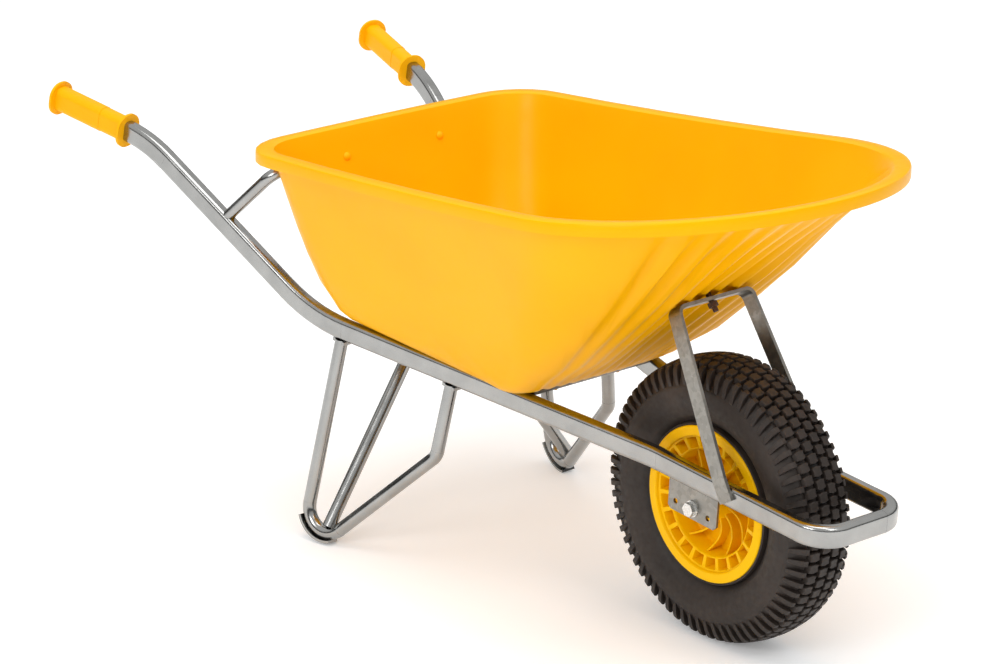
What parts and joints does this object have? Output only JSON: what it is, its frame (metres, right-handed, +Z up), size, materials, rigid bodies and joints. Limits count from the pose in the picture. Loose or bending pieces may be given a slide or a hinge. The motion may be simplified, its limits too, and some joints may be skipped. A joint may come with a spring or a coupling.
{
  "type": "wheelbarrow",
  "caption": "Garden wheelbarrow: yellow plastic tray on a bent steel tube frame with two legs, two grips and a pneumatic front wheel that spins.",
  "frame": {"origin": "on the ground, in the middle plane, halfway between the front of the frame and the ends of the grips", "axes": "+X forward towards the wheel, +Y to the user's left, +Z up; the wheel and both feet stand on Z = 0"},
  "size_m": [1.4611, 0.6612, 0.693],
  "materials": {
    "tube": "galvanised, satin",
    "flat": "galvanised, satin",
    "zinc": "zinc plated",
    "rusty": "zinc plated with brown rust",
    "tray": "yellow, satin gloss",
    "grip": "yellow, satin gloss",
    "wheel_plastic": "yellow, satin gloss",
    "bush": "black, matt",
    "tyre": "black, matt",
    "soft_rubber": "black, matt",
    "cap": "black, matt"
  },
  "bodies": {
    "frame": {"frame_tube": "tube", "leg_left": "tube", "leg_right": "tube", "leg_brace": "tube", "foot_plate_left": "flat", "foot_plate_right": "flat", "cross_tie": "flat", "rear_hoop": "tube", "front_stay": "flat", "axle_plate_left": "flat", "axle_plate_right": "flat", "grip_left": "grip", "grip_right": "grip", "tray": "tray", "stay_bolt": "rusty", "stay_nut": "rusty", "tie_bolts": "zinc", "tie_nuts": "zinc", "hoop_bolts": "zinc", "hoop_nuts": "zinc", "axle_bolt": "zinc", "axle_nut": "zinc", "axle_washers": "zinc", "axle_sleeve": "zinc", "spacer_left": "zinc", "spacer_right": "zinc"},
    "wheel": {"wheel_rim": "wheel_plastic", "bush_left": "bush", "bush_right": "bush", "tyre": "tyre", "inner_tube": "soft_rubber", "valve_stem": "soft_rubber", "valve_cap": "cap"}
  },
  "joints": [
    {"name": "wheel_spin", "type": "hinge", "parent": "frame", "child": "wheel", "pos_m": [0.4585, 0, 0.205], "axis": [0, 1, 0], "continuous": true}
  ]
}
